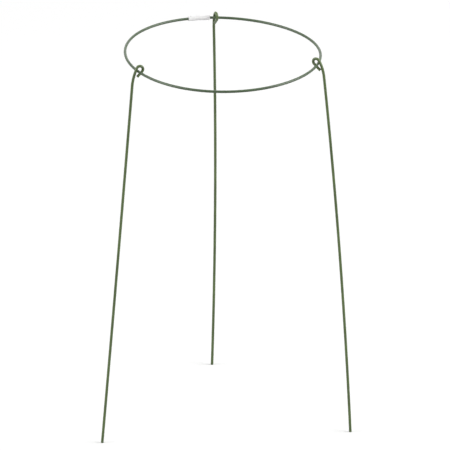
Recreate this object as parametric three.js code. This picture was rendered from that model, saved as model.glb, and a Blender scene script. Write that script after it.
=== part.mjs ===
// Grow-through plant support of plastic-coated steel wire.
// A hoop closed by a push-on sleeve stands on three legs, whose tops are bent round it as pigtail eyes.
// Lengths are in millimetres and angles in degrees, turned counter-clockwise from +X as seen from above.
import * as THREE from "three";

// Hoop, bent round until its two cut ends meet
const hoopRadius = 175; // to the middle of the wire
const hoopWire = 4.8; // across the coating
const hoopOval = 4.2; // hand-bent: longer along ovalAngle by this much a side, and shorter across it
const hoopTwist = 1.9; // sprung out of flat: up along twistAngle by this much, and down across it
const ovalAngle = 123;
const twistAngle = -28;
const joinAngle = 104; // where the ends meet
const joinGap = 0.8; // between them

// Sleeve pushed over both ends
const sleeveLength = 39.5;
const sleeveWall = 1.5;
const sleeveClearance = 0.3; // round the wire

// Legs
const legWire = 5; // across the coating
const hoopHeight = 709.7; // middle of the hoop's wire above the feet
const footRadius = 239.5; // circle that the feet stand on
const legSpots = [
  // Bent and set up by hand, each leg stands a little askew. Lean tips its eye along the hoop, turn twists
  // the eye about the upright, footTurn moves the foot round its circle, and tailShare sets how much of
  // the tail is left.
  { name: "leg_back", angle: 94.3, lean: -3.9, turn: 11.7, footTurn: -0.1, tailShare: 1.07 },
  { name: "leg_left", angle: 209.5, lean: 4.4, turn: -13.2, footTurn: -2.7, tailShare: 0.87 },
  { name: "leg_right", angle: -16.8, lean: 3.1, turn: -18.5, footTurn: 3.1, tailShare: 1.07 },
];

// Pigtail eye at the top of each leg
const eyeBore = 7.3; // across the inside of the bend
const eyeStart = 27.9; // where the neck runs into the bend, from straight outward
const eyeEnd = 227.6; // where the bend runs out into the tail
const neckRadius = 88; // gentle bend between shank and eye, to the middle of the wire
const neckTilt = 6.3; // lean of the shank's top from upright
const eyeClearance = 0.45; // between the wires that rest on each other
const eyeSideSet = 2.3; // sideways swing of the bend, which lets the tail pass the neck
const eyeSideLead = 14.3; // length of neck over which the swing starts

// Coating on both wires
const coatingWall = 0.5;
const coreClearance = 0.2; // between the coating and the steel in it

// How finely the wires are faceted
const coatingSides = 12;
const coreSides = 8;
const sleeveSides = 16;
const hoopSteps = 90;
const sleeveSteps = 8;
const shankSteps = 16;
const neckSteps = 4;
const eyeSteps = 18;
const tailSteps = 3;

const rad = THREE.MathUtils.degToRad;

// A path whose steps are counted and not measured, so that a tight bend can have many and a long shank few.
// Each stretch has its count of steps and a function that gives its point at a share of the way along.
class SteppedPath extends THREE.Curve {
  constructor(stretches) {
    super();
    this.stretches = stretches;
    this.steps = stretches.reduce((sum, stretch) => sum + stretch.steps, 0);
  }

  getPoint(share, target = new THREE.Vector3()) {
    let step = share * this.steps;
    let at = 0;
    while (at < this.stretches.length - 1 && step > this.stretches[at].steps) {
      step -= this.stretches[at].steps;
      at += 1;
    }
    const stretch = this.stretches[at];
    return target.copy(stretch.pointAt(step / stretch.steps));
  }

  getPointAt(share, target) {
    return this.getPoint(share, target);
  }

  getTangentAt(share, target) {
    return this.getTangent(share, target);
  }
}

function circle(shape, radius) {
  return shape.absarc(0, 0, radius, 0, 2 * Math.PI);
}

function extruded(section, path, sides) {
  const curveSegments = sides / 2;
  return new THREE.ExtrudeGeometry(section, { extrudePath: path, steps: path.steps, curveSegments });
}

// A solid rod along a path, its ends cut square
function rod(path, radius, sides) {
  const section = circle(new THREE.Shape(), radius);
  return extruded(section, path, sides);
}

// A tube along a path, its ends cut square
function tube(path, outerRadius, boreRadius, sides) {
  const section = circle(new THREE.Shape(), outerRadius);
  section.holes.push(circle(new THREE.Path(), boreRadius));
  return extruded(section, path, sides);
}

function mesh(name, geometry, material) {
  const made = new THREE.Mesh(geometry, material);
  made.name = name;
  return made;
}

// One wire is two pieces: the steel core and the coating round it
function coatedWire(name, path, wire) {
  const outer = wire / 2;
  const bore = outer - coatingWall;
  const steel = new THREE.MeshStandardMaterial({ color: 0xa3a39d, roughness: 0.4, metalness: 1 });
  const coating = new THREE.MeshStandardMaterial({ color: 0x65705a, roughness: 0.5, metalness: 0 });
  return [
    mesh(`${name}_core`, rod(path, bore - coreClearance, coreSides), steel),
    mesh(`${name}_coating`, tube(path, outer, bore, coatingSides), coating),
  ];
}

// Middle of the hoop's wire at an angle in radians, and the way that the wire runs there
function hoopPoint(angle) {
  const radius = hoopRadius + hoopOval * Math.cos(2 * (angle - rad(ovalAngle)));
  const height = hoopTwist * Math.cos(2 * (angle - rad(twistAngle)));
  return new THREE.Vector3(radius * Math.cos(angle), radius * Math.sin(angle), height);
}

function hoopStretch(from, to, steps) {
  return new SteppedPath([{ steps, pointAt: (share) => hoopPoint(THREE.MathUtils.lerp(from, to, share)) }]);
}

// Turn round the hoop that a length of its wire takes up at the join
function joinTurn(length) {
  return length / Math.hypot(hoopPoint(rad(joinAngle)).x, hoopPoint(rad(joinAngle)).y);
}

function makeHoop() {
  const start = rad(joinAngle) + joinTurn(joinGap / 2);
  const end = rad(joinAngle) + 2 * Math.PI - joinTurn(joinGap / 2);
  return coatedWire("hoop", hoopStretch(start, end, hoopSteps), hoopWire);
}

function makeSleeve() {
  const half = joinTurn(sleeveLength / 2);
  const path = hoopStretch(rad(joinAngle) - half, rad(joinAngle) + half, sleeveSteps);
  const bore = hoopWire / 2 + sleeveClearance;
  const milky = new THREE.MeshStandardMaterial({ color: 0xf2f2f0, roughness: 0.4, metalness: 0 });
  return mesh("joining_sleeve", tube(path, bore + sleeveWall, bore, sleeveSides), milky);
}

// The eye is laid out in the plane square to the hoop's wire: x outward, y up, from the middle of that
// wire. The hoop's wire rests in the corner where the tail comes back to the neck, touching both.
function eyeLayout(tailShare) {
  const along = (angle) => new THREE.Vector2(Math.cos(angle), Math.sin(angle));
  const start = rad(eyeStart);
  const end = rad(eyeEnd);
  const bend = (eyeBore + legWire) / 2;
  const seat = (hoopWire + legWire) / 2 + eyeClearance;
  const tailWay = new THREE.Vector2(-Math.sin(end), Math.cos(end));

  // Centre of the bend: slid along the tail's direction until the neck's arc also passes at the seat's
  // distance
  const corner = along(end).multiplyScalar(seat - bend);
  const reach = corner.clone().addScaledVector(along(start), bend - neckRadius);
  const slide = reach.dot(tailWay);
  const centre = corner.addScaledVector(
    tailWay,
    -slide - Math.sqrt(slide ** 2 - reach.lengthSq() + (neckRadius - seat) ** 2),
  );
  const neckCentre = centre.clone().addScaledVector(along(start), bend - neckRadius);

  // The whole tail would end where it meets the neck
  const tailStart = centre.clone().addScaledVector(along(end), bend);
  const offset = tailStart.clone().sub(neckCentre);
  const run = offset.dot(tailWay);
  const limit = neckRadius - legWire - eyeClearance;
  const tailLength = tailShare * (Math.sqrt(run ** 2 - offset.lengthSq() + limit ** 2) - run);

  const neckLength = neckRadius * (start - rad(neckTilt));
  const bendLength = bend * (end - start);

  // Each stretch: its steps, its length, and its point in the eye's plane at a share of the way along
  const stretches = [
    {
      steps: neckSteps,
      length: neckLength,
      flat: (share) =>
        neckCentre
          .clone()
          .addScaledVector(along(THREE.MathUtils.lerp(rad(neckTilt), start, share)), neckRadius),
    },
    {
      steps: eyeSteps,
      length: bendLength,
      flat: (share) => centre.clone().addScaledVector(along(THREE.MathUtils.lerp(start, end, share)), bend),
    },
    {
      steps: tailSteps,
      length: tailLength,
      flat: (share) => tailStart.clone().addScaledVector(tailWay, tailLength * share),
    },
  ];

  // The swing goes over by the time the bend points straight inward, and comes part of the way back in
  // the tail
  const overAt = neckLength + bend * (Math.PI - start);
  const swingFrom = neckLength - eyeSideLead;
  const sideways = (length) =>
    (eyeSideSet / 2) * Math.cos((Math.PI * Math.max(0, length - swingFrom)) / (overAt - swingFrom));

  let before = 0;
  return stretches.map(({ steps, length, flat }) => {
    const from = before;
    before += length;
    const pointAt = (share) => {
      const { x, y } = flat(share);
      return new THREE.Vector3(x, sideways(from + share * length), y);
    };
    return { steps, pointAt };
  });
}

// A leg in its own group, which leans in a seat on the hoop's wire: x outward, y along the wire, z up
function makeLeg({ name, angle, lean, turn, footTurn, tailShare }) {
  const seat = new THREE.Group();
  const wireWay = new SteppedPath([{ steps: 1, pointAt: (share) => hoopPoint(2 * Math.PI * share) }]);
  const onHoop = rad(angle);
  const along = wireWay.getTangent(THREE.MathUtils.euclideanModulo(onHoop / (2 * Math.PI), 1));
  const outward = new THREE.Vector3().crossVectors(along, new THREE.Vector3(0, 0, 1)).normalize();
  const up = new THREE.Vector3().crossVectors(outward, along);
  seat.quaternion.setFromRotationMatrix(new THREE.Matrix4().makeBasis(outward, along, up));
  seat.position.copy(hoopPoint(onHoop));
  const leg = new THREE.Group();
  leg.rotation.set(rad(lean), 0, rad(turn));
  seat.add(leg);
  seat.updateMatrixWorld();

  const eye = eyeLayout(tailShare);
  const top = eye[0].pointAt(0);
  const onGround = rad(angle + footTurn);
  const foot = leg.worldToLocal(
    new THREE.Vector3(footRadius * Math.cos(onGround), footRadius * Math.sin(onGround), -hoopHeight),
  );

  // The shank leaves the neck in line with it, and bows down to the foot
  const drop = (top.z - foot.z) / 2;
  const control = new THREE.Vector3(top.x + drop * Math.tan(rad(neckTilt)), top.y, top.z - drop);
  const shank = new THREE.QuadraticBezierCurve3(foot, control, top);
  const path = new SteppedPath([{ steps: shankSteps, pointAt: (share) => shank.getPoint(share) }, ...eye]);
  leg.add(...coatedWire(name, path, legWire));
  return seat;
}

const support = new THREE.Group();
support.add(...makeHoop(), makeSleeve(), ...legSpots.map(makeLeg));

// The finished support is set with its feet on the ground, in the middle
const bounds = new THREE.Box3().setFromObject(support, true);
const middle = bounds.getCenter(new THREE.Vector3());
support.position.set(-middle.x, -middle.y, -bounds.min.z);

export default support;
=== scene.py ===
import math

import bpy
from mathutils import Matrix, Vector


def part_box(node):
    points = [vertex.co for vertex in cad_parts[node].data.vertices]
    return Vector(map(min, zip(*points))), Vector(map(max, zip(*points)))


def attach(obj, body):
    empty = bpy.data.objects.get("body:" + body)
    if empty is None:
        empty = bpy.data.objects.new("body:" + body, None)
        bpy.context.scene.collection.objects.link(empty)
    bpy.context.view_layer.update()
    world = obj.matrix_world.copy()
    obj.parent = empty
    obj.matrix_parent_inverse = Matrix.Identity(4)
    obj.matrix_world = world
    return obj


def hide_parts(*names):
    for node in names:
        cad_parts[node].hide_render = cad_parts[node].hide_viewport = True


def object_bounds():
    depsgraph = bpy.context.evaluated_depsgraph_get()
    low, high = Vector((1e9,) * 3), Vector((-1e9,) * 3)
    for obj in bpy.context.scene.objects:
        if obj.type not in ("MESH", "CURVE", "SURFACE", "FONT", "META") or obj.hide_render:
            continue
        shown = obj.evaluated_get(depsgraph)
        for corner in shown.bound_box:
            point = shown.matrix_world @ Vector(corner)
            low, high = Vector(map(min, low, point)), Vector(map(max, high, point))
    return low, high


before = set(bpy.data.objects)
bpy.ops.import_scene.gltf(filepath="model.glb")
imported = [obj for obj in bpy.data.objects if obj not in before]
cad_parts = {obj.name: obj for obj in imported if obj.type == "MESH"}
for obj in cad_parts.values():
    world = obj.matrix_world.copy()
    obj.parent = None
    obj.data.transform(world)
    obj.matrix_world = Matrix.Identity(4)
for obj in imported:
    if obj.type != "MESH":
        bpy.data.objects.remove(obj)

mm = 0.001
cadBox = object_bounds()


# nodes, for shaders and for Geometry Nodes alike

def findSocket(sockets, name):
    # some nodes have a socket of the same name for each kind of data, and only the one in use is enabled
    if isinstance(name, int):
        return sockets[name]
    return next(s for s in sockets if s.name == name and s.enabled)


class Flow:
    # one output socket: a sum written with it adds Math nodes to its tree
    def __init__(self, graph, socket):
        self.graph = graph
        self.socket = socket

    def maths(self, operation, *values):
        return self.graph.node("ShaderNodeMath", {"operation": operation}, dict(enumerate(values)))

    def __add__(self, other):
        return self.maths("ADD", self, other)

    def __radd__(self, other):
        return self.maths("ADD", other, self)

    def __sub__(self, other):
        return self.maths("SUBTRACT", self, other)

    def __rsub__(self, other):
        return self.maths("SUBTRACT", other, self)

    def __mul__(self, other):
        return self.maths("MULTIPLY", self, other)

    def __rmul__(self, other):
        return self.maths("MULTIPLY", other, self)

    def __truediv__(self, other):
        return self.maths("DIVIDE", self, other)

    def __rtruediv__(self, other):
        return self.maths("DIVIDE", other, self)

    def other(self, name):
        # another output of the node that this one comes from
        return Flow(self.graph, findSocket(self.socket.node.outputs, name))


class Graph:
    # a node tree: every node is added by its one method
    def __init__(self, tree):
        self.tree = tree

    def feed(self, socket, value):
        if isinstance(value, Flow):
            self.tree.links.new(value.socket, socket)
        else:
            socket.default_value = value

    def node(self, kind, settings=None, inputs=None, output=0):
        # settings first, because they decide which sockets are in use
        made = self.tree.nodes.new(kind)
        for name, value in (settings or {}).items():
            if name == "captured":
                made.capture_items.new(value, "Value")
            else:
                setattr(made, name, value)
        for name, value in (inputs or {}).items():
            self.feed(findSocket(made.inputs, name), value)
        return Flow(self, findSocket(made.outputs, output)) if made.outputs else None


def srgb(red, green, blue):
    # a colour as a picture shows it, 0 to 255, made the linear colour that a shader takes
    def straighten(value):
        share = value / 255
        return share / 12.92 if share < 0.04045 else ((share + 0.055) / 1.055) ** 2.4
    return (straighten(red), straighten(green), straighten(blue), 1)


# hoop: a ring of coated wire, hand-bent a little oval and sprung a little out of flat
hoop = {
    "radius": 175 * mm,
    "wire": 4.8 * mm,
    "oval": 4.2 * mm,  # wider one way by this and narrower the other
    "ovalAngle": math.radians(123),
    "twist": 1.9 * mm,  # up and down out of flat
    "twistAngle": math.radians(-28),
    "joinAngle": math.radians(104),
    "joinGap": 0.8 * mm,
    "points": 480,
    "seed": 1.0,
}
hoopLow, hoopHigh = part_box("hoop_coating")
hoopMiddle = (hoopLow + hoopHigh) / 2


def hoopPoint(angle):
    radius = hoop["radius"] + hoop["oval"] * math.cos(2 * (angle - hoop["ovalAngle"]))
    height = hoop["twist"] * math.cos(2 * (angle - hoop["twistAngle"]))
    return hoopMiddle + Vector((radius * math.cos(angle), radius * math.sin(angle), height))


def hoopRoute(start, end, count):
    return [hoopPoint(start + (end - start) * i / (count - 1)) for i in range(count)]


def joinTurn(length):
    # the turn about the hoop's middle that a length of wire takes up at the join
    return length / (hoopPoint(hoop["joinAngle"]) - hoopMiddle).to_2d().length


# legs: slightly thicker coated wire, bowed down to the foot, with a pigtail eye round the hoop at the top
leg = {
    "wire": 5 * mm,
    "height": 709.7 * mm,
    "footRadius": 239.5 * mm,
    "shankPoints": 120,
    "firstSeed": 2.0,
}
# each leg was bent by hand: in degrees, it leans along the hoop, turns about upright and has its foot a
# little round from its eye, and its tail is a share of the length that just clears the neck
legSpots = {
    "leg_back": {"angle": 94.3, "lean": -3.9, "turn": 11.7, "footTurn": -0.1, "tailShare": 1.07},
    "leg_left": {"angle": 209.5, "lean": 4.4, "turn": -13.2, "footTurn": -2.7, "tailShare": 0.87},
    "leg_right": {"angle": -16.8, "lean": 3.1, "turn": -18.5, "footTurn": 3.1, "tailShare": 1.07},
}
eye = {
    "bore": 7.3 * mm,
    "start": math.radians(27.9),  # of the tight bend
    "end": math.radians(227.6),
    "neckRadius": 88 * mm,
    "neckTilt": math.radians(6.3),
    "clearance": 0.45 * mm,
    "sideSet": 2.3 * mm,  # how far the bend swings sideways
    "sideLead": 14.3 * mm,  # how far before the bend that starts
    "neckPoints": 12,
    "bendPoints": 60,
    "tailPoints": 10,
}


def spread(low, high, count):
    # even steps up to high, without low itself
    return [low + (high - low) * i / count for i in range(1, count + 1)]


def eyeRoute(tailShare):
    # x outward, y along the hoop's wire and z up, from the middle of that wire
    def ray(angle):
        return Vector((math.cos(angle), math.sin(angle)))

    start, end, tilt = eye["start"], eye["end"], eye["neckTilt"]
    neckRadius = eye["neckRadius"]
    bend = (eye["bore"] + leg["wire"]) / 2
    seat = (hoop["wire"] + leg["wire"]) / 2 + eye["clearance"]
    tailWay = Vector((-math.sin(end), math.cos(end)))

    # the bend's centre is where both the tail and the neck rest against the hoop's wire
    corner = (seat - bend) * ray(end)
    reach = corner + (bend - neckRadius) * ray(start)
    slide = reach.dot(tailWay)
    back = math.sqrt(slide**2 - reach.length_squared + (neckRadius - seat) ** 2)
    centre = corner + tailWay * (-slide - back)
    neckCentre = centre + (bend - neckRadius) * ray(start)
    tailStart = centre + bend * ray(end)

    # the tail's whole length, seen from the side, ends just short of the neck
    offset = tailStart - neckCentre
    run = offset.dot(tailWay)
    limit = neckRadius - leg["wire"] - eye["clearance"]
    tailLength = tailShare * (math.sqrt(run**2 - offset.length_squared + limit**2) - run)

    # each point with its length along the wire
    neckLength = neckRadius * (start - tilt)
    bendLength = bend * (end - start)
    flat = [(0, neckCentre + neckRadius * ray(tilt))]
    for angle in spread(tilt, start, eye["neckPoints"]):
        flat.append((neckRadius * (angle - tilt), neckCentre + neckRadius * ray(angle)))
    for angle in spread(start, end, eye["bendPoints"]):
        flat.append((neckLength + bend * (angle - start), centre + bend * ray(angle)))
    for length in spread(0, tailLength, eye["tailPoints"]):
        flat.append((neckLength + bendLength + length, tailStart + tailWay * length))

    # the bend swings sideways, so that the tail passes the neck
    overAt = neckLength + bend * (math.pi - start)
    swingFrom = neckLength - eye["sideLead"]
    route = []
    for length, place in flat:
        swing = math.pi * max(0, length - swingFrom) / (overAt - swingFrom)
        route.append(Vector((place.x, eye["sideSet"] / 2 * math.cos(swing), place.y)))
    return route


def legRoute(spot):
    angle = math.radians(spot["angle"])
    step = 1e-4  # radians to each side, for the way that the hoop's wire runs here
    along = (hoopPoint(angle + step) - hoopPoint(angle - step)).normalized()
    outward = along.cross(Vector((0, 0, 1))).normalized()
    seat = Matrix((outward, along, outward.cross(along))).transposed().to_4x4()
    seat.translation = hoopPoint(angle)
    lean = Matrix.Rotation(math.radians(spot["lean"]), 4, "X")
    turn = Matrix.Rotation(math.radians(spot["turn"]), 4, "Z")
    stand = seat @ lean @ turn

    bent = eyeRoute(spot["tailShare"])
    onGround = math.radians(spot["angle"] + spot["footTurn"])
    footWay = Vector((math.cos(onGround), math.sin(onGround), 0))
    ground = hoopMiddle + footWay * leg["footRadius"] - Vector((0, 0, leg["height"]))
    foot = stand.inverted() @ ground
    top = bent[0]
    drop = (top.z - foot.z) / 2
    control = Vector((top.x + drop * math.tan(eye["neckTilt"]), top.y, top.z - drop))
    shank = []
    for i in range(leg["shankPoints"]):
        t = i / leg["shankPoints"]
        shank.append((1 - t) ** 2 * foot + 2 * t * (1 - t) * control + t**2 * top)
    return [stand @ place for place in shank + bent]


# drawing: Geometry Nodes draw every wire and tube along its route
drawing = {
    "waves": (250.0, 250.0, 70.0),  # to the metre: across the wire both ways, then along it
    "weld": 0.002 * mm,
}
placeName = "straightWire"  # attribute with each skin point's place on the straight wire


def captured(g, kind, geometry, value):
    # keeps a value of the curve for the skin that is drawn from it
    kept = {"Geometry": geometry, "Value": value}
    return g.node("GeometryNodeCaptureAttribute", {"captured": kind}, kept, "Geometry")


def stretched(g, place, scale):
    return g.node("ShaderNodeVectorMath", {"operation": "MULTIPLY"}, {0: place, 1: scale})


def skinAlong(g, path, sides, radius, caps):
    # a point's place on the straight wire has x and y on the section, and z along the length
    circle = {"Resolution": sides, "Radius": radius}
    ring = g.node("GeometryNodeCurvePrimitiveCircle", None, circle, "Curve")
    profile = captured(g, "VECTOR", ring, g.node("GeometryNodeInputPosition"))
    sweep = {"Curve": path, "Profile Curve": profile, "Fill Caps": caps}
    skin = g.node("GeometryNodeCurveToMesh", None, sweep)
    x = g.node("ShaderNodeSeparateXYZ", None, {0: profile.other("Value")}, "X")
    straight = g.node("ShaderNodeCombineXYZ", None, {"X": x, "Y": x.other("Y"), "Z": path.other("Value")})
    return g.node(
        "GeometryNodeStoreNamedAttribute",
        {"data_type": "FLOAT_VECTOR", "domain": "POINT"},
        {"Geometry": skin, "Name": placeName, "Value": straight},
    )


def wavered(g, skin, faces, waver, seed):
    # a drawn coating wavers a little along the wire
    straight = g.node("GeometryNodeInputNamedAttribute", {"data_type": "FLOAT_VECTOR"}, {"Name": placeName})
    waves = g.node(
        "ShaderNodeTexNoise",
        {"noise_dimensions": "4D"},
        {"Vector": stretched(g, straight, drawing["waves"]), "W": seed, "Scale": 1.0},
    )
    normal = g.node("GeometryNodeInputNormal")
    push = {0: normal, "Scale": (waves - 0.5) * waver}
    shift = g.node("ShaderNodeVectorMath", {"operation": "SCALE"}, push, "Vector")
    return g.node("GeometryNodeSetPosition", None, {"Geometry": skin, "Selection": faces, "Offset": shift})


def drawnIn(g, body, faces, share):
    inputs = {"Geometry": body, "Selection": faces, "Scale": share}
    return g.node("GeometryNodeScaleElements", {"domain": "FACE"}, inputs)


def shaded(g, body, faces, smooth):
    return g.node("GeometryNodeSetShadeSmooth", None, {0: body, "Selection": faces, "Shade Smooth": smooth})


def boredThrough(g, body, caps, share, lining):
    # a flat ring stays of each cap, and a lining runs from one to the other
    inPlace = {"Mesh": body, "Selection": caps, "Offset Scale": 0.0}
    ringed = g.node("GeometryNodeExtrudeMesh", {"mode": "FACES"}, inPlace, "Mesh")
    middle = ringed.other("Top")
    flatEnds = shaded(g, drawnIn(g, ringed, middle, share), ringed.other("Side"), False)
    cutOut = {"Geometry": flatEnds, "Selection": middle}
    opened = g.node("GeometryNodeDeleteGeometry", {"domain": "FACE"}, cutOut)
    both = g.node("GeometryNodeJoinGeometry", None, {"Geometry": opened})
    g.feed(both.socket.node.inputs[0], g.node("GeometryNodeFlipFaces", None, {"Mesh": lining}))
    return g.node("GeometryNodeMergeByDistance", None, {"Geometry": both, "Distance": drawing["weld"]})


def drawnTree(name, hollow):
    # draws a wire or a tube along the object's curve and dresses its cut ends
    tree = bpy.data.node_groups.new(name, "GeometryNodeTree")
    kinds = {
        "Route": "Geometry",
        "Outer Radius": "Float",
        "Bore Radius": "Float",
        "Lip": "Float",
        "Sides": "Int",
        "Waver": "Float",
        "Seed": "Float",
        "Finish": "Material",
    }
    for label, kind in kinds.items():
        tree.interface.new_socket(name=label, in_out="INPUT", socket_type="NodeSocket" + kind)
    tree.interface.new_socket(name="Drawn", in_out="OUTPUT", socket_type="NodeSocketGeometry")
    g = Graph(tree)
    route = g.node("NodeGroupInput", None, None, "Route")
    outer = route.other("Outer Radius")
    bore = route.other("Bore Radius")
    sides = route.other("Sides")
    path = captured(g, "FLOAT", route, g.node("GeometryNodeSplineParameter", None, None, "Length"))

    # the outer skin, whose caps are its only faces with more than four corners
    skin = shaded(g, skinAlong(g, path, sides, outer, True), True, True)
    corners = g.node("GeometryNodeInputMeshFaceNeighbors", None, None, "Vertex Count")
    greater = {"data_type": "INT", "operation": "GREATER_THAN"}
    isCap = g.node("FunctionNodeCompare", greater, {"A": corners, "B": 4})
    alongSkin = g.node("FunctionNodeBooleanMath", {"operation": "NOT"}, {0: isCap})
    wavy = wavered(g, skin, alongSkin, route.other("Waver"), route.other("Seed"))

    # the cut ends: a cap's edge is drawn in by the lip, and a tube is bored through
    lipShare = 1 - route.other("Lip") / outer
    body = drawnIn(g, wavy, isCap, lipShare)
    if hollow:
        lining = skinAlong(g, path, sides, bore, False)
        body = boredThrough(g, body, isCap, bore / (outer * lipShare), lining)
    else:
        body = shaded(g, body, isCap, False)

    real = g.node("GeometryNodeRealizeInstances", None, {"Geometry": body})
    done = g.node("GeometryNodeSetMaterial", None, {"Geometry": real, "Material": route.other("Finish")})
    g.node("NodeGroupOutput", None, {"Drawn": done})
    return tree


tubeTree = drawnTree("drawnTube", True)
rodTree = drawnTree("drawnRod", False)
print("drawing trees built")


def dressEnds(route, lip):
    # one more point close to each end, where the lip starts
    first, last = route[0], route[-1]
    afterFirst = first + (route[1] - first).normalized() * lip
    beforeLast = last + (route[-2] - last).normalized() * lip
    return [first, afterFirst, *route[1:-1], beforeLast, last]


def drawn(name, tree, route, values, finish):
    # the tree's result as a plain mesh of its own
    curve = bpy.data.curves.new(name + "Route", "CURVE")
    curve.dimensions = "3D"
    spline = curve.splines.new("POLY")
    points = dressEnds(route, values["Lip"])
    spline.points.add(len(points) - 1)
    for point, place in zip(spline.points, points):
        point.co = (*place, 1)
    maker = bpy.data.objects.new(name + "Route", curve)
    bpy.context.scene.collection.objects.link(maker)
    modifier = maker.modifiers.new("drawn", "NODES")
    modifier.node_group = tree
    inputs = {**values, "Finish": finish}
    for item in tree.interface.items_tree:
        if item.in_out == "INPUT" and item.name in inputs:
            modifier[item.identifier] = inputs[item.name]
    depsgraph = bpy.context.evaluated_depsgraph_get()
    mesh = bpy.data.meshes.new_from_object(maker.evaluated_get(depsgraph), depsgraph=depsgraph)
    mesh.name = name
    bpy.data.objects.remove(maker)
    bpy.data.curves.remove(curve)
    piece = bpy.data.objects.new(name, mesh)
    bpy.context.scene.collection.objects.link(piece)
    return piece


def newFinish(name):
    material = bpy.data.materials.new(name)
    material.use_nodes = True
    material.node_tree.nodes.clear()
    return material, Graph(material.node_tree)


def endFinish(g, shader):
    g.node("ShaderNodeOutputMaterial", None, {"Surface": shader})


def placeOnWire(g):
    return g.node("ShaderNodeAttribute", {"attribute_name": placeName}, None, "Vector")


def band(g, value, limits):
    # 0 below the low limit, 1 above the high one and smooth between
    inputs = {"Value": value, "From Min": limits[0], "From Max": limits[1]}
    return g.node("ShaderNodeMapRange", {"interpolation_type": "SMOOTHSTEP"}, inputs)


def mixColours(g, factor, a, b):
    return g.node("ShaderNodeMix", {"data_type": "RGBA"}, {"Factor": factor, "A": a, "B": b}, "Result")


def grain(g, place, look):
    # noise with its own scale, to the metre, along each way
    return g.node(
        "ShaderNodeTexNoise",
        None,
        {
            "Vector": stretched(g, place, look["scale"]),
            "Scale": 1.0,
            "Detail": look["detail"],
            "Roughness": 0.55,
        },
    )


def summed(looks, patterns, effect):
    # what the patterns do together, each as strongly as its look says
    return sum(pattern * looks[name][effect] for name, pattern in patterns.items() if effect in looks[name])


def bumps(g, height, look):
    return g.node("ShaderNodeBump", None, {**look, "Height": height})


# green plastic coating: the hoop's is the same coating with painted shade, its tones a little darker and
# greyer than the legs', and limits say where each pattern starts and is full
coating = {
    "legs": {"deep": srgb(59, 79, 29), "middle": srgb(81, 103, 48), "chalk": srgb(114, 132, 84)},
    # the hoop's tones: the legs' coating painted darker and greyer, as painted shade
    "hoop": {"deep": srgb(41, 61, 31), "middle": srgb(58, 81, 47), "chalk": srgb(93, 112, 83)},
    "worn": srgb(128, 138, 116),
    "blotch": {"scale": (132.0, 132.0, 22.0), "detail": 3.0, "limits": (0.3, 0.7), "mottled": 0.4},
    "mottle": {
        "scale": (700.0, 700.0, 700.0),
        "detail": 4.0,
        "patchy": 0.6,
        "rougher": 0.16,
        "higher": 0.35,
    },
    "streak": {
        "scale": (1400.0, 1400.0, 14.0),
        "detail": 2.0,
        "limits": (0.55, 0.8),
        "share": 0.25,
        "patchy": 0.4,
        "higher": 0.3,
    },
    "bloom": {"limits": (-0.2, 1.1), "mottled": 0.9, "share": 0.4, "rougher": 0.08},
    "scuff": {
        "reach": (3.5 * mm, 11 * mm),
        "limits": (0.5, 0.62),
        "share": 0.6,
        "rougher": 0.15,
        "higher": 0.4,
    },
    "roughness": 0.24,  # what the patterns add to
    "bump": {"Strength": 0.25, "Distance": 0.08 * mm},
    "shine": 0.6,
}


def coatingFinish(name, tones):
    material, g = newFinish(name)
    straight = placeOnWire(g)
    place = g.node("ShaderNodeTexCoord", None, None, "Object")
    blotch = grain(g, straight, coating["blotch"])
    mottle = grain(g, straight, coating["mottle"])
    streak = grain(g, straight, coating["streak"])
    uneven = mottle - 0.5
    pale = band(g, blotch + uneven * coating["blotch"]["mottled"], coating["blotch"]["limits"])
    base = mixColours(g, pale, tones["deep"], tones["middle"])

    # chalky bloom lies on top, where the light and the dust reach
    up = g.node("ShaderNodeSeparateXYZ", None, {0: place.other("Normal")}, "Z")
    bloom = band(g, up + uneven * coating["bloom"]["mottled"], coating["bloom"]["limits"])
    dusty = mixColours(g, bloom * coating["bloom"]["share"], base, tones["chalk"])
    streaks = band(g, streak, coating["streak"]["limits"])
    streaked = mixColours(g, streaks * coating["streak"]["share"], dusty, tones["chalk"])

    # scuffs where the eyes ride on the hoop
    near = 0
    for spot in legSpots.values():
        ends = {0: place, 1: hoopPoint(math.radians(spot["angle"]))}
        gap = g.node("ShaderNodeVectorMath", {"operation": "DISTANCE"}, ends, "Value")
        near = near + (1 - band(g, gap, coating["scuff"]["reach"]))
    patterns = {"mottle": mottle, "streak": streak, "bloom": bloom}
    scuff = near * band(g, summed(coating, patterns, "patchy"), coating["scuff"]["limits"])
    patterns["scuff"] = scuff
    shader = g.node(
        "ShaderNodeBsdfPrincipled",
        None,
        {
            "Base Color": mixColours(g, scuff * coating["scuff"]["share"], streaked, coating["worn"]),
            "Roughness": coating["roughness"] + summed(coating, patterns, "rougher"),
            "Normal": bumps(g, summed(coating, patterns, "higher"), coating["bump"]),
            "Specular IOR Level": coating["shine"],
        },
    )
    endFinish(g, shader)
    return material


# steel core, seen where the wire is cut
steel = {
    "bright": (0.55, 0.55, 0.54, 1),
    "dull": (0.22, 0.21, 0.2, 1),
    "rust": srgb(120, 84, 58),
    "shear": {"scale": (3500.0, 900.0, 900.0), "detail": 3.0, "limits": (0.35, 0.65)},
    "pits": {"scale": (2600.0, 2600.0, 2600.0), "detail": 4.0, "limits": (0.58, 0.7), "rougher": 0.2},
    "stain": {"share": 0.5, "duller": 0.6},
    "roughness": 0.32,
    "bump": {"Strength": 0.4, "Distance": 0.05 * mm},
}


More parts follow.
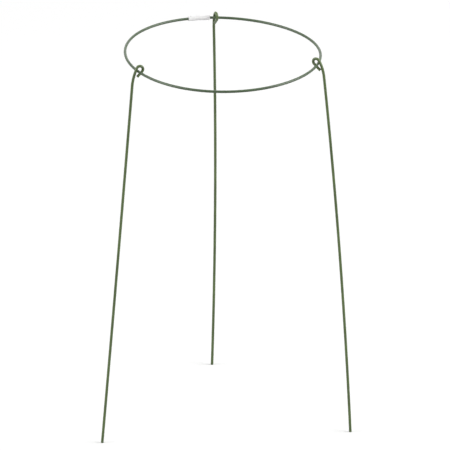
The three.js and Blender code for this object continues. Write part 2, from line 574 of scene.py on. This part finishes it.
def steelFinish():
    material, g = newFinish("cutSteel")
    place = g.node("ShaderNodeTexCoord", None, None, "Object")
    shear = grain(g, place, steel["shear"])
    pits = grain(g, place, steel["pits"])
    bare = mixColours(g, band(g, shear, steel["shear"]["limits"]), steel["dull"], steel["bright"])
    stain = band(g, pits, steel["pits"]["limits"])
    shader = g.node(
        "ShaderNodeBsdfPrincipled",
        None,
        {
            "Base Color": mixColours(g, stain * steel["stain"]["share"], bare, steel["rust"]),
            "Roughness": steel["roughness"] + pits * steel["pits"]["rougher"],
            "Metallic": 1 - stain * steel["stain"]["duller"],
            "Normal": bumps(g, shear, steel["bump"]),
        },
    )
    endFinish(g, shader)
    return material


# milky plastic of the sleeve
milk = {
    "clear": srgb(240, 238, 240),
    "cloudy": srgb(247, 247, 245),
    "scratched": srgb(216, 214, 216),
    "cloud": {"scale": (260.0, 260.0, 120.0), "detail": 3.0, "limits": (0.35, 0.65), "rougher": 0.12},
    "lines": {"scale": (1600.0, 1600.0, 20.0), "detail": 2.0, "higher": 1.0},
    "rub": {
        "scale": (500.0, 500.0, 1500.0),
        "detail": 4.0,
        "limits": (0.6, 0.72),
        "share": 0.35,
        "rougher": 0.2,
        "higher": 0.5,
    },
    "roughness": 0.3,
    "bump": {"Strength": 0.2, "Distance": 0.06 * mm},
    "plastic": {
        "Subsurface Weight": 0.6,
        "Subsurface Radius": (1.0, 1.0, 1.0),
        "Subsurface Scale": 1.4 * mm,
        "Coat Weight": 0.15,
    },
}


def sleeveFinish():
    material, g = newFinish("milkySleeve")
    straight = placeOnWire(g)
    cloud = grain(g, straight, milk["cloud"])
    lines = grain(g, straight, milk["lines"])
    rub = band(g, grain(g, straight, milk["rub"]), milk["rub"]["limits"])
    patterns = {"cloud": cloud, "lines": lines, "rub": rub}
    body = mixColours(g, band(g, cloud, milk["cloud"]["limits"]), milk["clear"], milk["cloudy"])
    shader = g.node(
        "ShaderNodeBsdfPrincipled",
        None,
        {
            **milk["plastic"],
            "Base Color": mixColours(g, rub * milk["rub"]["share"], body, milk["scratched"]),
            "Roughness": milk["roughness"] + summed(milk, patterns, "rougher"),
            "Normal": bumps(g, summed(milk, patterns, "higher"), milk["bump"]),
        },
    )
    endFinish(g, shader)
    return material


legCoating = coatingFinish("legCoating", coating["legs"])
# the hoop's finish: the same coating, with painted shade in its darker and greyer tones
hoopCoating = coatingFinish("hoopCoating", coating["hoop"])
cutSteel = steelFinish()
milkySleeve = sleeveFinish()
print("finishes made")


# section of both wires: a steel core drawn tight into its coating
section = {
    "coating": 0.5 * mm,
    "fit": 0.02 * mm,
    "lip": 0.14 * mm,
    "sides": 32,
    "waver": 0.08 * mm,
}


def coatedWire(body, route, wire, seed, finish):
    # a steel core in its coating, both cut square at the ends
    outer = wire / 2
    bore = outer - section["coating"]
    shared = {"Sides": section["sides"], "Lip": section["lip"], "Seed": seed}
    tube = {**shared, "Outer Radius": outer, "Bore Radius": bore, "Waver": section["waver"]}
    rod = {**shared, "Outer Radius": bore - section["fit"], "Waver": 0.0}
    skin = drawn(body + "_skin", tubeTree, route, tube, finish)
    core = drawn(body + "_steel", rodTree, route, rod, cutSteel)
    layers = ((skin, "_coating", "green_coating"), (core, "_core", "steel_wire"))
    for piece, ending, slot in layers:
        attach(piece, body)
        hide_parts(body + ending)


halfGap = joinTurn(hoop["joinGap"] / 2)
ringStart = hoop["joinAngle"] + halfGap
ringEnd = hoop["joinAngle"] + 2 * math.pi - halfGap
coatedWire("hoop", hoopRoute(ringStart, ringEnd, hoop["points"]), hoop["wire"], hoop["seed"], hoopCoating)
print("hoop drawn")

for number, (name, spot) in enumerate(legSpots.items()):
    coatedWire(name, legRoute(spot), leg["wire"], leg["firstSeed"] + number, legCoating)
print("legs drawn")

# sleeve: a milky tube pushed over both ends of the hoop's wire
sleeve = {
    "length": 39.5 * mm,
    "wall": 1.5 * mm,
    "clearance": 0.3 * mm,
    "points": 60,
    "lip": 0.35 * mm,
    "sides": 40,
    "waver": 0.12 * mm,
    "seed": 9.0,
}
halfSleeve = joinTurn(sleeve["length"] / 2)
sleeveBore = hoop["wire"] / 2 + sleeve["clearance"]
tube = drawn(
    "sleeve_tube",
    tubeTree,
    hoopRoute(hoop["joinAngle"] - halfSleeve, hoop["joinAngle"] + halfSleeve, sleeve["points"]),
    {
        "Outer Radius": sleeveBore + sleeve["wall"],
        "Bore Radius": sleeveBore,
        "Lip": sleeve["lip"],
        "Sides": sleeve["sides"],
        "Waver": sleeve["waver"],
        "Seed": sleeve["seed"],
    },
    milkySleeve,
)
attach(tube, "sleeve")
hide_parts("joining_sleeve")
print("sleeve drawn")


# camera: far away on a long lens, a little above the hoop
view = {
    "pitch": math.radians(23.031),
    "roll": math.radians(0.23),
    "lens": 640,
    "sensor": 36,
    "near": 0.1,
    "far": 200,
    # where the hoop's middle is seen, in hoop radii
    "across": -0.0229,
    "down": -1.7359,
    "away": 81.116,
}


def placeCamera():
    # the picture's right, down and forward ways, the first two turned by the roll
    right = Vector((1, 0, 0))
    down = Vector((0, -math.sin(view["pitch"]), -math.cos(view["pitch"])))
    forward = Vector((0, math.cos(view["pitch"]), -math.sin(view["pitch"])))
    turn = math.cos(view["roll"])
    lift = math.sin(view["roll"])
    across = turn * right - lift * down
    below = lift * right + turn * down
    seen = view["across"] * across + view["down"] * below + view["away"] * forward
    data = bpy.data.cameras.new("camera")
    data.lens = view["lens"]
    data.sensor_width = view["sensor"]
    data.clip_start = view["near"]
    data.clip_end = view["far"]
    camera = bpy.data.objects.new("camera", data)
    camera.matrix_world = Matrix((across, -below, -forward)).transposed().to_4x4()
    camera.location = hoopMiddle - seen * hoop["radius"]
    bpy.context.scene.collection.objects.link(camera)
    bpy.context.scene.camera = camera


placeCamera()
print("camera placed")

# light: an even room, with a large soft lamp at each side and a weak one behind
light = {  # lamps in metres and watts
    "room": 0.3,
    "lamps": {
        "left": {"from": (-8.4, -2.2, 4.8), "size": (7.0, 5.5), "power": 620},
        "right": {"from": (8.4, -1.4, 4.8), "size": (7.0, 5.5), "power": 880},
        "back": {"from": (0.0, 9.0, 4.4), "size": (6.0, 2.0), "power": 70},
    },
}
floorTone = {
    "cloth": 0.78,
    "glow": 0.28,
    "runOut": (1.3, 4.0),  # metres from the middle over which it becomes plain white
    "half": 60,  # metres from the middle to each edge
    "drop": 0.2 * mm,
}
white = (1, 1, 1, 1)


def seenDirectly(g):
    # what the camera, a reflection or a see-through material meets
    rays = g.node("ShaderNodeLightPath", None, None, "Is Camera Ray")
    either = rays.maths("MAXIMUM", rays, rays.other("Is Glossy Ray"))
    return rays.maths("MAXIMUM", either, rays.other("Is Transmission Ray"))


def makeRoom():
    world = bpy.data.worlds.new("room")
    world.use_nodes = True
    world.node_tree.nodes.clear()
    g = Graph(world.node_tree)
    lit = g.node("ShaderNodeBackground", None, {"Color": white, "Strength": light["room"]})
    plain = g.node("ShaderNodeBackground", None, {"Color": white, "Strength": 1.0})
    both = g.node("ShaderNodeMixShader", None, {0: seenDirectly(g), 1: lit, 2: plain})
    g.node("ShaderNodeOutputWorld", None, {"Surface": both})
    bpy.context.scene.world = world
    middle = (cadBox[0] + cadBox[1]) / 2
    for name, lamp in light["lamps"].items():
        data = bpy.data.lights.new(name, "AREA")
        data.shape = "RECTANGLE"
        data.size, data.size_y = lamp["size"]
        data.energy = lamp["power"]
        holder = bpy.data.objects.new(name, data)
        holder.location = lamp["from"]
        holder.rotation_mode = "QUATERNION"
        holder.rotation_quaternion = (middle - Vector(lamp["from"])).to_track_quat("-Z", "Y")
        bpy.context.scene.collection.objects.link(holder)


def makeFloor():
    # pale floor: it takes the shadow, glows up to white where it is seen, and runs out into plain white
    material, g = newFinish("paleFloor")
    seen = seenDirectly(g)
    cloth = g.node("ShaderNodeBsdfDiffuse", None, {"Color": (floorTone["cloth"],) * 3 + (1,)})
    glow = g.node("ShaderNodeEmission", None, {"Color": white, "Strength": seen * floorTone["glow"]})
    plain = g.node("ShaderNodeEmission", None, {"Color": white, "Strength": seen})
    place = g.node("ShaderNodeTexCoord", None, None, "Object")
    away = g.node("ShaderNodeVectorMath", {"operation": "LENGTH"}, {0: place}, "Value")
    nearBy = g.node("ShaderNodeAddShader", None, {0: cloth, 1: glow})
    farOff = band(g, away, floorTone["runOut"])
    endFinish(g, g.node("ShaderNodeMixShader", None, {0: farOff, 1: nearBy, 2: plain}))
    half = floorTone["half"]
    mesh = bpy.data.meshes.new("floor")
    corners = [(-half, -half, 0), (half, -half, 0), (half, half, 0), (-half, half, 0)]
    mesh.from_pydata(corners, [], [(0, 1, 2, 3)])
    mesh.materials.append(material)
    floor = bpy.data.objects.new("floor", mesh)
    floor.location.z = -floorTone["drop"]
    bpy.context.scene.collection.objects.link(floor)


makeRoom()
makeFloor()
bpy.context.scene.view_settings.view_transform = "Standard"
print("room lit")
